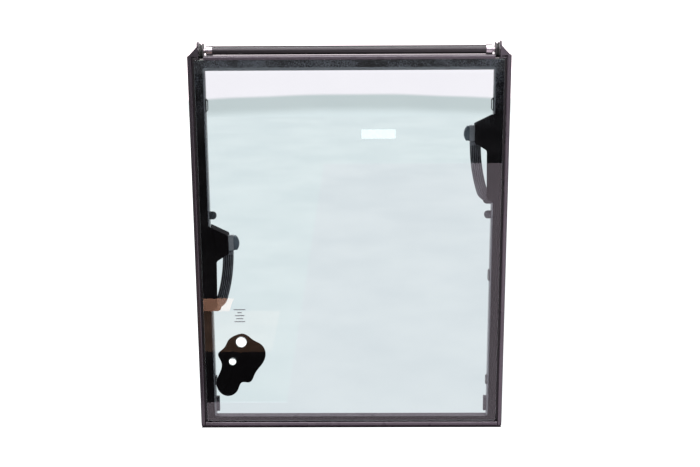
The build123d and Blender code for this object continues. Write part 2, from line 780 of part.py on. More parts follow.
with BuildPart() as shoe_screw:
    for screw_z in shoe_screw_heights:
        rod_y(screw_x, (rear - screw_reach, shoe_seat), screw_z, screw_radius)
        rod_y(screw_x, (shoe_seat, shoe_seat + screw_head_height), screw_z, screw_head_radius)
write_both(shoe_screw, "shoe_screws")


def strap_clip(low, length, stand):
    """Flat strap bent to a shallow loop on the stile's inner face."""
    high = low + length
    with BuildPart() as clip:
        with BuildSketch(wall_plane(stile_mid_y - clip_width / 2)):
            with BuildLine():
                Polyline(
                    (stile_inner, low),
                    (stile_inner - stand, low + stand),
                    (stile_inner - stand, high - stand),
                    (stile_inner, high),
                    close=True,
                )
            make_face()
            offset(amount=-clip_thickness, mode=Mode.SUBTRACT)
        extrude(amount=-clip_width)
    return clip


write_pair(strap_clip(sash_height - upper_clip_drop, upper_clip_length, upper_clip_stand), "upper_clip")
write_pair(strap_clip(lower_clip_height, lower_clip_length, low_clip_stand), "lower_clip")
write(strap_clip(sash_height - middle_clip_drop, middle_clip_length, low_clip_stand), "middle_clip")
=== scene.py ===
import json
from math import asin, cos, degrees, pi, radians, sin

import bmesh
import bpy
from mathutils import Matrix, Vector

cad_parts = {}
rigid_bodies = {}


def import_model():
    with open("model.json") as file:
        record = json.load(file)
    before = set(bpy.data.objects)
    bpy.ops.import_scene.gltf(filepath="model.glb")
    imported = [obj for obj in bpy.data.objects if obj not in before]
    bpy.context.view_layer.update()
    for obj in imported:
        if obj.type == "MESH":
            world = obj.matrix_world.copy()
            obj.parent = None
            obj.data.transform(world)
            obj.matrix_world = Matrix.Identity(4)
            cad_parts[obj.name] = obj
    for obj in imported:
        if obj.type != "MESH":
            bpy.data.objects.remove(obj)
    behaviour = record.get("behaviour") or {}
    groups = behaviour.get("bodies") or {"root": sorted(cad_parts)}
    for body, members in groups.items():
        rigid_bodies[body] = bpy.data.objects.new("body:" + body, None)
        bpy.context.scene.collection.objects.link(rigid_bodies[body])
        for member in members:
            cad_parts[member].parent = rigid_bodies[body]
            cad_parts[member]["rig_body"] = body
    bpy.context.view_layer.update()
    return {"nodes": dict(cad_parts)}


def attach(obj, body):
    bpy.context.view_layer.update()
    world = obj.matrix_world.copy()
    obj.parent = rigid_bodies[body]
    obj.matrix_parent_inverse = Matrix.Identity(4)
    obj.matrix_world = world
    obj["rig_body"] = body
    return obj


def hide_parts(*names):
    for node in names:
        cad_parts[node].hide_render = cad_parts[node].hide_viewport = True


# Looks of a lift-up cab window: painted frame, bonded glass, roller tube and two grab handles.
# Shapes are drawn in millimetres in the CAD model's frame and scaled to metres when they are done.

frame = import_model()
SCENE = bpy.context.scene

MM = 0.001

# Sizes that the added pieces share with the CAD model, in millimetres
HANDLE_Z = 853.0
STAGGER = 316.0
STILE_INNER = 396.0
STILE_MID_Y = 6.0
FRAME_REAR = 19.0
AXLE_Z = 1092.5
GRIP_TOP = Vector((353.0, 52.0, 826.0))
GRIP_LONG_R = 462.0
GRIP_LONG_TURN = degrees(asin(137.0 / 462.0))
GRIP_END_R = 24.0
GRIP_END_TURN = 60.0 - GRIP_LONG_TURN
PIVOT = Vector((408.0, 57.0, 853.0))


# ------------------------------------------------------------------ shaders
class Wire:
    """A value inside a material: Python arithmetic on it adds Math nodes."""

    def __init__(self, paint, socket):
        self.paint = paint
        self.socket = socket

    def maths(self, operation, first, second):
        return self.paint.node("ShaderNodeMath", {"operation": operation}, {0: first, 1: second})

    def __add__(self, other):
        return self.maths("ADD", self, other)

    def __sub__(self, other):
        return self.maths("SUBTRACT", self, other)

    def __rsub__(self, other):
        return self.maths("SUBTRACT", other, self)

    def __mul__(self, other):
        return self.maths("MULTIPLY", self, other)

    __radd__ = __add__
    __rmul__ = __mul__


class Paint:
    """One material's node tree, read in the piece's own coordinates in metres."""

    def __init__(self, name):
        self.material = bpy.data.materials.new(name)
        self.material.use_nodes = True
        self.tree = self.material.node_tree
        self.tree.nodes.clear()
        self.place = self.node("ShaderNodeTexCoord", out="Object")

    def node(self, kind, settings=None, inputs=None, out=0):
        made = self.tree.nodes.new(kind)
        for key, value in (settings or {}).items():
            if key == "stops":
                made.color_ramp.elements[0].position, made.color_ramp.elements[0].color = value[0]
                made.color_ramp.elements[1].position, made.color_ramp.elements[1].color = value[-1]
                for position, colour in value[1:-1]:
                    made.color_ramp.elements.new(position).color = colour
            else:
                setattr(made, key, value)
        for key, value in (inputs or {}).items():
            if isinstance(value, Wire):
                self.tree.links.new(value.socket, made.inputs[key])
            else:
                made.inputs[key].default_value = value
        return Wire(self, made.outputs[out])

    def stretched(self, scale):
        """Coordinates squeezed by a factor along each axis, for streaks and ribs."""
        return self.node("ShaderNodeMapping", None, {"Vector": self.place, "Scale": scale})

    def noise(self, scale, detail=3.0, roughness=0.5, where=None):
        values = {"Vector": where or self.place, "Scale": scale, "Detail": detail, "Roughness": roughness}
        return self.node("ShaderNodeTexNoise", {"noise_dimensions": "3D"}, values)

    def between(self, value, low, high, start=0.0, end=1.0):
        """Smooth step of a value from start at low to end at high."""
        settings = {"interpolation_type": "SMOOTHSTEP", "clamp": True}
        return self.node("ShaderNodeMapRange", settings, {0: value, 1: low, 2: high, 3: start, 4: end})

    def mix(self, share, first, second):
        inputs = {0: share, 6: first, 7: second}
        return self.node("ShaderNodeMix", {"data_type": "RGBA"}, inputs, out=2)

    def axis(self, letter):
        return self.node("ShaderNodeSeparateXYZ", None, {0: self.place}, out=letter)

    def facing(self, letter):
        normal = self.node("ShaderNodeNewGeometry", out="Normal")
        return self.node("ShaderNodeSeparateXYZ", None, {0: normal}, out=letter)

    def bump(self, height, depth, strength=1.0):
        return self.node("ShaderNodeBump", None, {"Height": height, "Distance": depth, "Strength": strength})

    def body(self, **inputs):
        return self.node("ShaderNodeBsdfPrincipled", None, {k.replace("_", " "): v for k, v in inputs.items()})

    def done(self, shader):
        self.node_out = self.tree.nodes.new("ShaderNodeOutputMaterial")
        self.tree.links.new(shader.socket, self.node_out.inputs["Surface"])
        return self.material


def rgb(red, green, blue):
    return (red, green, blue, 1.0)


def moulded(name, low, high, rough, grain, depth, metal=0.0, coat=0.0, dust=0.0, specular=0.5, patch=9.0):
    """A worked surface: mottled colour, fine grain in the bump and gloss, and dust on what faces up."""
    paint = Paint(name)
    clouds = paint.noise(patch, 4.0, 0.6)
    fine = paint.noise(grain, 2.0, 0.6)
    colour = paint.mix(paint.between(clouds, 0.3, 0.7), low, high)
    dusty = paint.between(paint.facing("Z"), 0.35, 1.0, 0.0, dust * 0.5) * paint.between(clouds, 0.25, 0.7, 0.35, 1.0)
    colour = paint.mix(dusty, colour, rgb(0.34, 0.33, 0.32))
    gloss = paint.between(clouds, 0.3, 0.7, rough - 0.05, rough + 0.06) + (fine - 0.5) * 0.08 + dusty * 0.2
    return paint.done(paint.body(Base_Color=colour, Roughness=gloss, Metallic=metal, Coat_Weight=coat,
                                 Specular_IOR_Level=specular, Normal=paint.bump(fine, depth)))


def frame_paint(name, low, high, gloss_low, gloss_high):
    """Semi-gloss sprayed paint: orange peel, a little dust, rubbed patches, a near-black seat, a painted highlight on
    the inner flange strip and painted shade towards the left stile.
    """
    paint = Paint(name)
    clouds = paint.noise(5.0, 4.0, 0.6)
    peel = paint.noise(420.0, 1.0, 0.5)
    specks = paint.between(paint.noise(700.0, 2.0, 0.6), 0.70, 0.78)
    rubbed = paint.between(paint.noise(60.0, 3.0, 0.6), 0.62, 0.80) * paint.between(clouds, 0.5, 0.7)
    dusty = paint.between(paint.facing("Z"), 0.5, 1.0, 0.0, 0.08) * paint.between(clouds, 0.3, 0.6, 0.2, 1.0)
    depth, height, across = paint.axis("Y"), paint.axis("Z"), paint.axis("X")
    seat = (paint.between(depth, -0.0168, -0.0150) * paint.between(depth, -0.0060, -0.0064)
            * paint.between(paint.facing("Y"), -0.2, -0.8))
    sides = paint.between(across * across, 0.4002 ** 2, 0.4006 ** 2)
    ends = paint.between(height, 1.0470, 1.0476) + paint.between(height, 0.0270, 0.0265)
    # The seat outside the inner flange strip, and at the top and bottom ends, is painted near black and rougher.
    dark_seat = seat * (1.0 - (1.0 - sides) * (1.0 - ends))
    # Painted highlight: the inner strip of the seat flange is painted pale grey to stand for the light that falls on
    # it.
    painted_flange_highlight = (seat - dark_seat) * 0.8
    colour = paint.mix(paint.between(clouds, 0.3, 0.7), low, high)
    # Painted shade: the paint darkens towards the outer edge of the left stile.
    colour = paint.mix(paint.between(across, -0.43, -0.36, 0.7, 0.0), colour, rgb(0.014, 0.010, 0.013))
    colour = paint.mix(rubbed * 0.15, colour, rgb(0.20, 0.19, 0.19))
    colour = paint.mix(specks * 0.3, colour, rgb(0.24, 0.23, 0.23))
    colour = paint.mix(dusty, colour, rgb(0.30, 0.28, 0.29))
    colour = paint.mix(painted_flange_highlight, colour, rgb(0.52, 0.52, 0.53))
    colour = paint.mix(dark_seat, colour, rgb(0.006, 0.005, 0.006))
    gloss = paint.between(clouds, 0.3, 0.7, gloss_low, gloss_high) + rubbed * 0.1 + dusty * 0.3 + dark_seat * 0.25
    return paint.done(paint.body(Base_Color=colour, Roughness=gloss, Specular_IOR_Level=0.5,
                                 Normal=paint.bump(peel + specks * 0.6, 0.00003)))


def pane_glass(name):
    """Tinted float glass: clear through its faces, pale and ground on its edges, with a thin film of dust."""
    paint = Paint(name)
    glowing_film = paint.noise(4.0, 5.0, 0.62)
    streaks = paint.noise(3.0, 4.0, 0.6, paint.stretched((1.0, 1.0, 5.0)))
    shine = paint.node("ShaderNodeFresnel", None, {"IOR": 1.52})
    across = paint.facing("Y")
    face = paint.between(across * across, 0.4, 0.8)
    see = paint.node("ShaderNodeBsdfTransparent", None, {"Color": rgb(0.735, 0.772, 0.782)})
    smears = paint.between(glowing_film, 0.45, 0.75, 0.0, 0.03)
    mirror = paint.node("ShaderNodeBsdfGlossy", None, {"Color": rgb(1.0, 1.0, 1.0), "Roughness": smears})
    clean = paint.node("ShaderNodeMixShader", None, {0: shine, 1: see, 2: mirror})
    dust = paint.node("ShaderNodeBsdfDiffuse", None, {"Color": rgb(0.62, 0.64, 0.64)})
    dusty = paint.between(glowing_film * 0.6 + streaks * 0.4, 0.46, 0.70, 0.0, 0.012)
    clean = paint.node("ShaderNodeMixShader", None, {0: dusty, 1: clean, 2: dust})
    ground = paint.body(Base_Color=paint.mix(glowing_film, rgb(0.42, 0.52, 0.49), rgb(0.55, 0.62, 0.6)), Roughness=0.35)
    return paint.done(paint.node("ShaderNodeMixShader", None, {0: face, 1: ground, 2: clean}))


def fired_print(name):
    """Black print fired on the glass, seen through it, with grey dust gathered along the top."""
    paint = Paint(name)
    specks = paint.noise(260.0, 5.0, 0.75)
    clouds = paint.noise(14.0, 4.0, 0.6)
    high = paint.between(paint.axis("Z"), 0.86, 1.05)
    dusty = paint.between(specks * 0.6 + clouds * 0.4, 0.44, 0.62) * high * 0.8
    colour = paint.mix(dusty, rgb(0.003, 0.003, 0.0035), rgb(0.42, 0.43, 0.47))
    gloss = paint.between(clouds, 0.3, 0.7, 0.3, 0.42)
    return paint.done(paint.body(Base_Color=colour, Roughness=gloss, Specular_IOR_Level=0.1,
                                 Normal=paint.bump(clouds, 0.00001)))


def ribbed_pad(name):
    """Soft grey rubber with fine ribs across the thumb's face."""
    paint = Paint(name)
    clouds = paint.noise(40.0, 3.0, 0.6)
    ribs = paint.node("ShaderNodeMath", {"operation": "SINE"}, {0: paint.axis("Z") * (2 * pi / 0.0032)})
    ribs = paint.between(ribs, -0.4, 0.7)
    colour = paint.mix(clouds, rgb(0.18, 0.22, 0.25), rgb(0.31, 0.36, 0.40))
    # Painted shade: the grooves between the ribs are darkened.
    colour = paint.mix((1.0 - ribs) * 0.35, colour, rgb(0.02, 0.025, 0.03))
    gloss = paint.between(clouds, 0.3, 0.7, 0.45, 0.6)
    return paint.done(paint.body(Base_Color=colour, Roughness=gloss, Normal=paint.bump(ribs, 0.0004)))


def grip_rubber(name):
    """Ribbed rubber: the crests are grey, partly rubbed wear and partly a painted highlight, and the grooves stay
    dark.
    """
    paint = Paint(name)
    crest = paint.node("ShaderNodeAttribute", {"attribute_name": "crest"}, out="Fac")
    clouds = paint.noise(30.0, 4.0, 0.6)
    fine = paint.noise(900.0, 2.0, 0.6)
    # Pale grey crests: partly real wear and partly a painted highlight along the ribs.
    worn_and_lit_crests = paint.between(crest, 0.62, 1.0) * paint.between(clouds, 0.25, 0.65, 0.35, 1.0)
    colour = paint.mix(worn_and_lit_crests, rgb(0.012, 0.012, 0.014), rgb(0.30, 0.30, 0.32))
    gloss = paint.between(clouds, 0.3, 0.7, 0.38, 0.5) + (1.0 - crest) * 0.15
    return paint.done(paint.body(Base_Color=colour, Roughness=gloss, Normal=paint.bump(fine, 0.00008)))


def label_film(name):
    """Blank white film with a slightly worn face."""
    paint = Paint(name)
    clouds = paint.noise(30.0, 4.0, 0.6)
    colour = paint.mix(clouds, rgb(0.80, 0.84, 0.88), rgb(0.88, 0.91, 0.94))
    gloss = paint.between(clouds, 0.3, 0.7, 0.35, 0.5)
    # Painted glow: the film gives off a faint greenish white light of its own.
    glowing_film = paint.body(Base_Color=colour, Roughness=gloss, Specular_IOR_Level=0.0,
                      Emission_Color=rgb(0.69, 1.0, 0.86), Emission_Strength=0.33)
    see = paint.node("ShaderNodeBsdfTransparent", None, {"Color": rgb(1.0, 1.0, 1.0)})
    return paint.done(paint.node("ShaderNodeMixShader", None, {0: paint.between(clouds, 0.3, 0.7, 0.75, 0.9), 1: see, 2: glowing_film}))


def turned_metal(name, low, high, rough, grain, axis_scale, specks=0.0):
    """Plated or turned metal with marks that run round or along the piece."""
    paint = Paint(name)
    clouds = paint.noise(45.0, 3.0, 0.6)
    marks = paint.noise(grain, 2.0, 0.6, paint.stretched(axis_scale))
    spots = paint.between(paint.noise(600.0, 2.0, 0.6), 0.62, 0.72) * specks
    colour = paint.mix(paint.between(clouds, 0.3, 0.7), low, high)
    colour = paint.mix(spots, colour, rgb(0.10, 0.085, 0.07))
    gloss = paint.between(clouds, 0.3, 0.7, rough - 0.06, rough + 0.08) + (marks - 0.5) * 0.12 + spots * 0.3
    return paint.done(paint.body(Base_Color=colour, Metallic=1.0, Roughness=gloss,
                                 Normal=paint.bump(marks, 0.00004)))


FINISH = {
    "frame_paint": frame_paint("frame_paint", rgb(0.066, 0.052, 0.066), rgb(0.084, 0.068, 0.084), 0.24, 0.32),
    "glass": pane_glass("pane_glass"),
    "ceramic_print": fired_print("fired_print"),
    "adhesive": moulded("bond_line", rgb(0.010, 0.010, 0.011), rgb(0.022, 0.022, 0.023), 0.62, 500.0, 0.0002),
    "seal_rubber": moulded("seal_rubber", rgb(0.014, 0.014, 0.015), rgb(0.028, 0.028, 0.028), 0.55, 900.0, 0.00006, dust=0.25),
    "label_film": label_film("label_film"),
    "etched_marking": moulded("etched_marking", rgb(0.20, 0.22, 0.23), rgb(0.36, 0.38, 0.40), 0.6, 900.0, 0.00003),
    "tube_paint": frame_paint("tube_paint", rgb(0.013, 0.009, 0.014), rgb(0.022, 0.016, 0.022), 0.16, 0.24),
    "bright_steel": turned_metal("bright_plating", rgb(0.34, 0.32, 0.33), rgb(0.46, 0.44, 0.45), 0.36, 350.0, (1.0, 0.1, 0.1), 0.25),
    "dark_zinc": turned_metal("dark_zinc", rgb(0.16, 0.16, 0.17), rgb(0.27, 0.26, 0.27), 0.34, 400.0, (1.0, 1.0, 0.3), 0.4),
    "roller_plastic": moulded("roller_plastic", rgb(0.022, 0.023, 0.022), rgb(0.042, 0.043, 0.040), 0.42, 700.0, 0.00008, dust=0.2),
    "bush_bronze": turned_metal("bush_bronze", rgb(0.48, 0.33, 0.16), rgb(0.62, 0.46, 0.25), 0.36, 500.0, (1.0, 0.3, 0.3), 0.5),
    "handle_plastic": moulded("handle_plastic", rgb(0.011, 0.011, 0.012), rgb(0.021, 0.021, 0.022), 0.58, 950.0, 0.00012, dust=0.03, specular=0.06),
    "grip_rubber": grip_rubber("grip_rubber"),
    "lever_plastic": moulded("lever_plastic", rgb(0.54, 0.54, 0.55), rgb(0.66, 0.66, 0.67), 0.4, 900.0, 0.00008, dust=0.15),
    "pad_rubber": ribbed_pad("pad_rubber"),
    "hook_steel": turned_metal("hook_plating", rgb(0.50, 0.48, 0.44), rgb(0.66, 0.64, 0.60), 0.32, 300.0, (0.3, 1.0, 1.0), 0.35),
    "spring_steel": turned_metal("spring_wire", rgb(0.45, 0.45, 0.46), rgb(0.62, 0.62, 0.63), 0.28, 500.0, (1.0, 1.0, 1.0), 0.1),
    "buffer_rubber": moulded("buffer_rubber", rgb(0.040, 0.052, 0.058), rgb(0.070, 0.088, 0.094), 0.5, 600.0, 0.0001, dust=0.15),
    "shoe_plastic": moulded("shoe_plastic", rgb(0.030, 0.030, 0.032), rgb(0.052, 0.052, 0.055), 0.4, 700.0, 0.0001, dust=0.2),
    "clip_steel": moulded("clip_paint", rgb(0.030, 0.030, 0.026), rgb(0.055, 0.054, 0.046), 0.36, 500.0, 0.00006, dust=0.15),
}


# ------------------------------------------------------------------ making pieces
def settle(shape, name, finish, body, nodes, sharp=35.0):
    """Turn a finished shape in metres into a piece that stands for CAD nodes and rides on a body."""
    mesh = bpy.data.meshes.new(name)
    shape.to_mesh(mesh)
    shape.free()
    mesh.shade_smooth()
    mesh.set_sharp_from_angle(angle=radians(sharp))
    mesh.materials.append(FINISH[finish])
    piece = bpy.data.objects.new(name, mesh)
    SCENE.collection.objects.link(piece)
    weight = piece.modifiers.new("even_shading", "WEIGHTED_NORMAL")
    weight.keep_sharp = True
    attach(piece, body)
    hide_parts(*nodes)
    return piece


def drawn(shape, name, finish, body, nodes, sharp=35.0):
    """Scale a shape drawn in millimetres to metres and settle it."""
    bmesh.ops.scale(shape, vec=(MM, MM, MM), verts=shape.verts)
    return settle(shape, name, finish, body, nodes, sharp)


def handed(shape, side, drop=0.0):
    """Mirror a right-hand shape for the left stile and lower it by drop."""
    if side == "left":
        bmesh.ops.scale(shape, vec=(-1.0, 1.0, 1.0), verts=shape.verts)
        bmesh.ops.translate(shape, vec=(0.0, 0.0, -drop), verts=shape.verts)
    bmesh.ops.recalc_face_normals(shape, faces=shape.faces)
    return shape


def eased(node, finish, radius, segments=2, angle=38.0):
    """A copy of a CAD node with its hard edges rounded off by radius millimetres."""
    shape = bmesh.new()
    shape.from_mesh(frame["nodes"][node].data)
    bmesh.ops.remove_doubles(shape, verts=shape.verts, dist=1e-6)
    bmesh.ops.dissolve_limit(shape, angle_limit=radians(0.6), verts=shape.verts, edges=shape.edges)
    hard = [e for e in shape.edges if len(e.link_faces) == 2 and e.calc_face_angle(0.0) > radians(angle)]
    bmesh.ops.bevel(shape, geom=hard, offset=radius * MM, segments=segments, affect="EDGES", profile=0.5,
                    material=-1, clamp_overlap=True, offset_type="OFFSET")
    bmesh.ops.triangulate(shape, faces=[f for f in shape.faces if len(f.verts) > 4])
    body = frame["nodes"][node]["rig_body"]
    return settle(shape, "fine_" + node, finish, body, [node])


def lathe(shape, outline, centre, axis, steps=72):
    """Turn an outline of (distance along the axis, radius) points round the axis and close it."""
    along = Vector(axis)
    out = Vector((0.0, 0.0, 1.0)) if abs(along.z) < 0.5 else Vector((1.0, 0.0, 0.0))
    start = [shape.verts.new(Vector(centre) + along * a + out * r) for a, r in outline]
    line = [shape.edges.new(pair) for pair in zip(start, start[1:])]
    made = bmesh.ops.spin(shape, geom=start + line, cent=centre, axis=axis, angle=2 * pi, steps=steps,
                          use_merge=True)
    bmesh.ops.remove_doubles(shape, verts=shape.verts, dist=0.001)
    bmesh.ops.recalc_face_normals(shape, faces=shape.faces)
    return made


def ring_point(share, width, depth, corner):
    """Point and outward direction at a share of the way round a rounded rectangle."""
    flat_w, flat_d, bend = width - 2 * corner, depth - 2 * corner, corner * pi / 2
    left = share * (2 * flat_w + 2 * flat_d + 4 * bend)
    spot, heading = Vector((-flat_w / 2, -depth / 2)), 0.0
    for run in (flat_w, flat_d, flat_w, flat_d):
        forward = Vector((cos(heading), sin(heading)))
        outward = Vector((forward.y, -forward.x))
        if left <= run:
            return spot + forward * left, outward
        left -= run
        spot = spot + forward * run
        if left <= bend:
            turn = left / corner
            centre = spot - outward * corner
            turned = Vector((cos(heading + turn), sin(heading + turn)))
            away = Vector((turned.y, -turned.x))
            return centre + away * corner, away
        left -= bend
        centre = spot - outward * corner
        heading += pi / 2
        forward = Vector((cos(heading), sin(heading)))
        spot = centre + Vector((forward.y, -forward.x)) * corner
    return spot, Vector((0.0, -1.0))


def sleeve_section(shape, at, ribs, rib_depth, grow, points=170):
    """Flat ring of the grip's section, ribbed on the outside, with the core's hole inside."""
    crest = shape.verts.layers.float.get("crest") or shape.verts.layers.float.new("crest")
    outer = bmesh.ops.create_circle(shape, segments=points, radius=1.0)["verts"]
    inner = bmesh.ops.create_circle(shape, segments=points, radius=1.0)["verts"]
    for ring, width, depth, corner, ribbed in ((outer, 31.0, 22.0, 8.8, True), (inner, 20.4, 12.4, 4.0, False)):
        for number, vert in enumerate(ring):
            spot, away = ring_point(number / points, width, depth, corner)
            groove = (0.5 - 0.5 * cos(2 * pi * ribs * number / points)) ** 1.6
            lift = grow - rib_depth * groove if ribbed else 0.0
            vert[crest] = 1.0 - groove
            vert.co = Vector((at.x + spot.x + away.x * lift, at.y + spot.y + away.y * lift, at.z))
    edges = {e for v in outer + inner for e in v.link_edges}
    return bmesh.ops.bridge_loops(shape, edges=list(edges))["faces"]


def bent(shape, faces, centre, turn, steps):
    """Carry a section round a bend about an upright front-to-back line through centre."""
    return bmesh.ops.spin(shape, geom=faces, cent=centre, axis=(0.0, -1.0, 0.0), angle=radians(turn),
                          steps=steps)["geom_last"]


def grip_sleeve(side):
    """Ribbed rubber sleeve that follows the grip: a long bend, then a tight one to the foot."""
    shape = bmesh.new()
    long_centre = GRIP_TOP + Vector((GRIP_LONG_R, 0.0, 0.0))
    turn = radians(GRIP_LONG_TURN)
    end_centre = long_centre + Vector((-cos(turn), 0.0, -sin(turn))) * (GRIP_LONG_R - GRIP_END_R)
    cap = sleeve_section(shape, GRIP_TOP, 17, 1.7, 0.0)
    last = bent(shape, cap, long_centre, GRIP_LONG_TURN, 26)
    bent(shape, [f for f in last if isinstance(f, bmesh.types.BMFace)], end_centre, GRIP_END_TURN, 16)
    bent(shape, sleeve_section(shape, GRIP_TOP, 0, 0.0, 0.5), long_centre, 0.6, 2)
    bent(shape, sleeve_section(shape, GRIP_TOP, 0, 0.0, 0.2), long_centre, -0.42, 2)
    return handed(shape, side, STAGGER)


def socket_screw(shape, at, direction, head_radius, head_height, shank_radius, shank_length):
    """Low round head with a hexagon socket, and its shank."""
    made = bmesh.ops.create_circle(shape, segments=36, radius=head_radius)
    base = made["verts"]
    rim = list({e for v in base for e in v.link_edges})
    low = bmesh.ops.edgeloop_fill(shape, edges=rim)["faces"]
    side = bmesh.ops.extrude_edge_only(shape, edges=rim)["geom"]
    top = [v for v in side if isinstance(v, bmesh.types.BMVert)]
    bmesh.ops.translate(shape, vec=(0.0, 0.0, head_height * 0.7), verts=top)
    side = bmesh.ops.extrude_edge_only(shape, edges=[e for e in side if isinstance(e, bmesh.types.BMEdge)])["geom"]
    crown = [v for v in side if isinstance(v, bmesh.types.BMVert)]
    bmesh.ops.translate(shape, vec=(0.0, 0.0, head_height * 0.3), verts=crown)
    bmesh.ops.scale(shape, vec=(0.86, 0.86, 1.0), verts=crown)
    hexagon = bmesh.ops.create_circle(shape, segments=6, radius=head_radius * 0.5,
                                      matrix=Matrix.Translation((0.0, 0.0, head_height)))["verts"]
    mouth = list({e for v in hexagon for e in v.link_edges})
    bmesh.ops.bridge_loops(shape, edges=[e for e in side if isinstance(e, bmesh.types.BMEdge)] + mouth)
    pit = bmesh.ops.extrude_edge_only(shape, edges=mouth)["geom"]
    deep = [v for v in pit if isinstance(v, bmesh.types.BMVert)]
    bmesh.ops.translate(shape, vec=(0.0, 0.0, -head_height * 0.6), verts=deep)
    bmesh.ops.edgeloop_fill(shape, edges=[e for e in pit if isinstance(e, bmesh.types.BMEdge)])
    shank = bmesh.ops.create_cone(shape, cap_ends=True, segments=24, radius1=shank_radius * 0.8,
                                  radius2=shank_radius, depth=shank_length,
                                  matrix=Matrix.Translation((0.0, 0.0, -shank_length / 2)))["verts"]
    verts = base + top + crown + hexagon + deep + shank
    turn = Vector((0.0, 0.0, 1.0)).rotation_difference(Vector(direction)).to_matrix().to_4x4()
    bmesh.ops.transform(shape, matrix=Matrix.Translation(at) @ turn, verts=verts)
    return low


def both_sides(make, name, finish, drop=0.0):
    """One piece that holds a right-hand shape and its mirror image."""
    right, left = make(), make()
    handed(right, "right")
    handed(left, "left", drop)
    joined = bpy.data.meshes.new(name + "_left")
    left.to_mesh(joined)
    left.free()
    right.from_mesh(joined)
    bpy.data.meshes.remove(joined)
    return drawn(right, "fine_" + name, finish, "frame", [name])


# ------------------------------------------------------------------ frame, glass and stile parts
for side in ("right", "left"):
    eased("stile_" + side, "frame_paint", 0.8)
    eased("ear_bracket_" + side, "frame_paint", 0.5)
    eased("handle_body_" + side, "handle_plastic", 1.0, 3)
    eased("handle_cover_" + side, "handle_plastic", 0.3)
    eased("release_lever_" + side, "lever_plastic", 1.0, 3)
    eased("thumb_pad_" + side, "pad_rubber", 0.5)
    eased("latch_hook_" + side, "hook_steel", 0.4)
    eased("guide_shoe_" + side, "shoe_plastic", 0.5)
    eased("upper_clip_" + side, "clip_steel", 0.3)
    eased("lower_clip_" + side, "clip_steel", 0.3)
    eased("shaft_collar_" + side, "bright_steel", 0.25)
    eased("roller_bush_" + side, "bush_bronze", 0.2)
eased("middle_clip", "clip_steel", 0.3)
eased("top_rail", "frame_paint", 0.8)
eased("bottom_rail", "frame_paint", 0.8)
eased("glass_pane", "glass", 0.5)
eased("axle_bolts", "bright_steel", 0.3)
eased("axle_washers", "bright_steel", 0.3)
eased("cross_tube", "tube_paint", 0.4)
eased("tube_plugs", "bright_steel", 0.3)



def raised_print(node, finish, lift):
    """A copy of a thin marking, lifted off the glass so that both faces stay clear of it."""
    shape = bmesh.new()
    shape.from_mesh(frame["nodes"][node].data)
    bmesh.ops.remove_doubles(shape, verts=shape.verts, dist=1e-6)
    bmesh.ops.translate(shape, vec=(0.0, -lift * MM, 0.0), verts=shape.verts)
    settle(shape, "fine_" + node, finish, "frame", [node])


raised_print("blank_label", "label_film", 0.25)
raised_print("etched_mark", "etched_marking", 0.15)

# ------------------------------------------------------------------ handles
for side in ("right", "left"):
    drawn(grip_sleeve(side), "ribbed_grip_" + side, "grip_rubber", "frame", ["grip_sleeve_" + side], 60.0)


def cover_screw_set():
    shape = bmesh.new()
    for x, z in ((372.0, 879.0), (417.2, 898.2), (417.2, 833.8)):
        socket_screw(shape, Vector((x, 78.0, z)), (0.0, 1.0, 0.0), 3.6, 2.4, 2.0, 17.0)
    return shape


def handle_screw_set():
    shape = bmesh.new()
    for y, z in ((30.0, 883.0), (27.0, 758.0), (27.0, 669.0)):
        socket_screw(shape, Vector((407.0, y, z)), (0.0, 1.0, 0.0), 5.5, 3.5, 3.0, 16.0)
    return shape


def shoe_screw_set():
    shape = bmesh.new()
    for z in (43.0, 65.0):
        socket_screw(shape, Vector((407.0, 29.0, z)), (0.0, 1.0, 0.0), 5.5, 3.5, 3.0, 18.0)
    return shape


both_sides(cover_screw_set, "cover_screws", "dark_zinc", STAGGER)
both_sides(handle_screw_set, "handle_screws", "dark_zinc", STAGGER)
both_sides(shoe_screw_set, "shoe_screws", "dark_zinc")

# ------------------------------------------------------------------ turned parts
for side in ("right", "left"):
    roller = bmesh.new()
    lathe(roller, [(396.0, 7.1), (396.0, 15.5), (396.8, 16.2), (396.8, 17.6), (396.0, 18.3), (396.0, 19.2),
                   (396.3, 19.8), (397.0, 20.0), (397.9, 20.0), (401.2, 15.2), (401.8, 15.2), (405.1, 20.0),
                   (406.0, 20.0), (406.7, 19.8), (407.0, 19.2), (407.0, 18.3), (406.2, 17.6), (406.2, 16.2),
                   (407.0, 15.5), (407.0, 7.1), (396.0, 7.1)], (0.0, 0.0, AXLE_Z), (1.0, 0.0, 0.0), 96)
    drawn(handed(roller, side), "turned_roller_" + side, "roller_plastic", "roller_" + side, ["guide_roller_" + side])

    buffer = bmesh.new()
    lathe(buffer, [(396.0, 3.0), (396.0, 11.1), (395.6, 11.5), (392.0, 11.5), (391.3, 10.9), (390.6, 11.5),
                   (386.0, 11.3), (382.4, 10.2), (379.4, 7.6), (377.6, 4.2), (377.0, 0.0)],
          (0.0, STILE_MID_Y, 630.0), (1.0, 0.0, 0.0), 64)
    drawn(handed(buffer, side), "domed_buffer_" + side, "buffer_rubber", "frame", ["rubber_buffer_" + side])

    pin = bmesh.new()
    lathe(pin, [(826.0, 0.0), (826.0, 3.4), (826.6, 4.0), (902.4, 4.0), (903.0, 3.4), (903.0, 0.0)],
          (PIVOT.x, PIVOT.y, 0.0), (0.0, 0.0, 1.0), 40)
    drawn(handed(pin, side, STAGGER), "pivot_pin_" + side, "dark_zinc", "frame", ["lever_pivot_" + side])

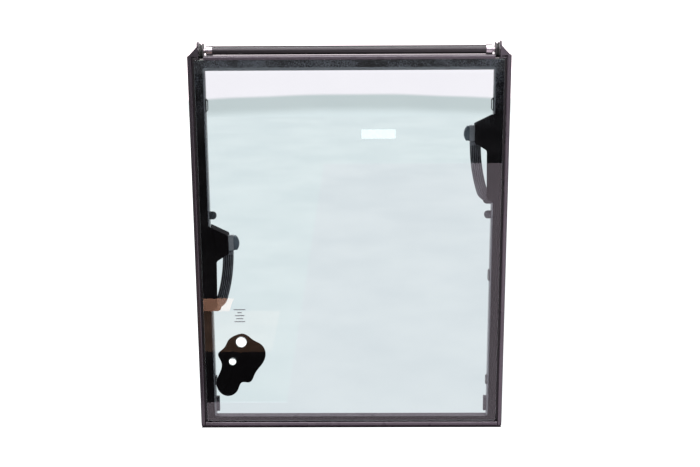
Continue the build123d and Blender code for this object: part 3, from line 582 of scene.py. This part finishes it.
# CAD nodes whose shape stays as it is
for node, finish in (("ceramic_border", "ceramic_print"), ("wiper_print", "ceramic_print"),
                     ("glass_adhesive", "adhesive"), ("perimeter_seal", "seal_rubber"),
                     ("collar_grub_screws", "dark_zinc"), ("buffer_studs", "dark_zinc"),
                     ("return_spring_right", "spring_steel"), ("return_spring_left", "spring_steel")):
    mesh = frame["nodes"][node].data
    mesh.materials.clear()
    mesh.materials.append(FINISH[finish])
    mesh.shade_smooth()
    mesh.set_sharp_from_angle(angle=radians(35.0))


# ------------------------------------------------------------------ stage, lights and camera
def glow(name, low, high, strength, scale):
    """Plain softly mottled paper that gives its own light."""
    paint = Paint(name)
    colour = paint.mix(paint.between(paint.noise(scale, 4.0, 0.6), 0.3, 0.7), low, high)
    return paint.done(paint.node("ShaderNodeEmission", None, {"Color": colour, "Strength": strength}))


def sheet_of_paper(name, material, x, y, z, seen, mirrored):
    """Flat rectangle that fills the x, y and z ranges, one of which is empty. It isn't part of the object."""
    shape = bmesh.new()
    upright = y[0] == y[1]
    bmesh.ops.create_grid(shape, x_segments=1, y_segments=1, size=0.5)
    if upright:
        bmesh.ops.rotate(shape, verts=shape.verts, matrix=Matrix.Rotation(pi / 2, 3, "X"))
    size = [(r[1] - r[0]) or 1.0 for r in (x, y, z)]
    bmesh.ops.scale(shape, vec=size, verts=shape.verts)
    bmesh.ops.translate(shape, vec=[(r[0] + r[1]) / 2 for r in (x, y, z)], verts=shape.verts)
    mesh = bpy.data.meshes.new(name)
    shape.to_mesh(mesh)
    shape.free()
    mesh.materials.append(material)
    card = bpy.data.objects.new(name, mesh)
    SCENE.collection.objects.link(card)
    card.visible_camera = seen
    card.visible_glossy = mirrored
    card.visible_diffuse = seen and mirrored
    card.visible_shadow = False
    card.visible_transmission = seen
    return card


def backdrop_paper():
    """Pale wall behind the sash: a grey-green band of painted shade along the floor and a lilac tone above it."""
    paint = Paint("backdrop_paper")
    across = paint.axis("X")
    height = paint.axis("Z") + across * across * 0.022 + (paint.noise(0.9, 2.0, 0.5) - 0.5) * 0.05
    clouds = paint.noise(1.5, 4.0, 0.6)
    # Painted shade: the dimmer grey-green band along the foot of the wall.
    low = paint.mix(clouds, rgb(1.02, 1.07, 1.07), rgb(1.14, 1.18, 1.17))
    colour = paint.mix(paint.between(height, 0.0, 0.09), rgb(1.42, 1.47, 1.47), low)
    colour = paint.mix(paint.between(height, 0.155, 0.185), colour, paint.mix(clouds, rgb(1.73, 1.55, 1.61), rgb(1.87, 1.68, 1.72)))
    return paint.done(paint.node("ShaderNodeEmission", None, {"Color": colour, "Strength": 1.0}))


floor_paper = glow("floor_paper", rgb(0.98, 1.0, 0.995), rgb(0.90, 0.93, 0.935), 1.50, 2.2)
shaded_paper = glow("shaded_paper", rgb(0.98, 1.0, 0.995), rgb(0.90, 0.93, 0.935), 1.27, 2.2)
near_paper = glow("near_paper", rgb(1.0, 0.85, 0.97), rgb(0.95, 0.82, 0.93), 1.75, 1.0)
far_paper = glow("far_paper", rgb(0.95, 0.96, 1.0), rgb(0.86, 0.88, 0.95), 0.5, 0.6)
brown_board = glow("brown_board", rgb(0.95, 0.50, 0.34), rgb(0.70, 0.36, 0.24), 4.2, 5.0)
brown_shade = glow("brown_shade", rgb(0.95, 0.56, 0.40), rgb(0.55, 0.32, 0.22), 0.9, 4.0)
rear_card = glow("rear_card", rgb(0.95, 0.86, 0.93), rgb(0.82, 0.74, 0.80), 0.9, 1.0)
contact_shadow = glow("contact_shadow", rgb(0.012, 0.009, 0.012), rgb(0.022, 0.016, 0.020), 1.0, 9.0)
over_card = glow("over_card", rgb(1.0, 0.88, 0.99), rgb(0.92, 0.80, 0.90), 8.0, 1.0)

sheet_of_paper("front_floor", floor_paper, (-9.0, 9.0), (-9.0, 0.05), (-0.004, -0.004), True, False)
sheet_of_paper("rear_floor", floor_paper, (-9.0, 9.0), (0.05, 6.0), (-0.004, -0.004), True, True)
sheet_of_paper("backdrop", backdrop_paper(), (-9.0, 9.0), (6.0, 6.0), (-0.004, 6.0), True, True)
sheet_of_paper("near_floor_right", near_paper, (-0.2, 3.0), (-4.07, -0.03), (-0.002, -0.002), False, True)
sheet_of_paper("near_floor_left", near_paper, (-3.0, -0.2), (-0.2, -0.03), (-0.002, -0.002), False, True)
sheet_of_paper("rear_shade_right", shaded_paper, (-0.2, 3.0), (0.01, 4.04), (-0.003, -0.003), True, False)
sheet_of_paper("rear_shade_left", shaded_paper, (-3.0, -0.2), (0.01, 0.166), (-0.003, -0.003), True, False)
sheet_of_paper("brown_floor_board", brown_board, (-0.66, -0.475), (-1.26, -1.10), (-0.001, -0.001), False, True)
sheet_of_paper("brown_floor_shade", brown_shade, (-0.66, -0.28), (-1.10, -0.65), (-0.001, -0.001), False, True)
sheet_of_paper("over_tube_card", over_card, (-2.5, 2.5), (-2.6, -0.95), (2.4, 2.4), False, True)
sheet_of_paper("rear_card", rear_card, (-3.0, 3.0), (3.0, 3.0), (0.6, 3.2), False, True)
sheet_of_paper("contact_shadow", contact_shadow, (-0.4385, 0.4385), (-0.0235, 0.02), (-0.003, -0.003), True, False)
sheet_of_paper("far_wall", far_paper, (-6.0, 6.0), (-9.0, -9.0), (0.0, 3.0), False, True)


def soft_light(name, power, size, location, target, tint=(1.0, 1.0, 1.0), mirrored=True):
    """Rectangular studio light that points at a spot."""
    lamp = bpy.data.lights.new(name, "AREA")
    lamp.shape = "RECTANGLE"
    lamp.size, lamp.size_y = size
    lamp.energy = power
    lamp.color = tint
    holder = bpy.data.objects.new(name, lamp)
    SCENE.collection.objects.link(holder)
    holder.location = location
    holder.rotation_mode = "QUATERNION"
    holder.rotation_quaternion = (Vector(target) - Vector(location)).to_track_quat("-Z", "Y")
    holder.visible_glossy = mirrored
    return holder


soft_light("top_light", 120.0, (3.4, 0.9), (0.0, -0.35, 3.3), (0.0, 0.0, 0.5))
soft_light("front_light", 52.0, (3.0, 1.2), (0.6, -3.4, 0.5), (0.0, 0.0, 0.5), (1.0, 0.95, 1.0), False)
soft_light("rear_light", 45.0, (3.0, 2.0), (0.0, 3.2, 1.6), (0.0, 0.0, 0.5), (1.0, 1.0, 1.0), False)

world = bpy.data.worlds.new("studio_air")
SCENE.world = world
world.use_nodes = True
tree = world.node_tree
tree.nodes.clear()
ray = tree.nodes.new("ShaderNodeLightPath")
air_out = tree.nodes.new("ShaderNodeOutputWorld")
air = None
for kind, colour, strength in ((None, rgb(0.26, 0.24, 0.26), 1.0), ("Is Glossy Ray", rgb(0.9, 0.8, 0.9), 0.06),
                               ("Is Camera Ray", rgb(1.0, 1.0, 1.0), 1.5)):
    glow_of_air = tree.nodes.new("ShaderNodeBackground")
    glow_of_air.inputs["Color"].default_value = colour
    glow_of_air.inputs["Strength"].default_value = strength
    if air is None:
        air = glow_of_air
        continue
    choice = tree.nodes.new("ShaderNodeMixShader")
    tree.links.new(ray.outputs[kind], choice.inputs[0])
    tree.links.new(air.outputs[0], choice.inputs[1])
    tree.links.new(glow_of_air.outputs[0], choice.inputs[2])
    air = choice
tree.links.new(air.outputs[0], air_out.inputs["Surface"])

SCENE.view_settings.view_transform = "Standard"

camera_data = bpy.data.cameras.new("photo_camera")
camera_data.sensor_width = 36.0
camera_data.lens = 60.38
camera_data.clip_end = 60.0
camera = bpy.data.objects.new("photo_camera", camera_data)
SCENE.collection.objects.link(camera)
azimuth, elevation, roll = radians(0.543), radians(14.35), radians(-0.337)
backwards = Vector((sin(azimuth) * cos(elevation), -cos(azimuth) * cos(elevation), sin(elevation)))
level = Vector((cos(azimuth), sin(azimuth), 0.0))
upward = backwards.cross(level)
right_hand = level * cos(roll) + upward * sin(roll)
head_up = backwards.cross(right_hand)
camera.matrix_world = Matrix.Translation((0.0298, -3.2148, 1.3999)) @ Matrix(
    (right_hand, head_up, backwards)).transposed().to_4x4()
SCENE.camera = camera
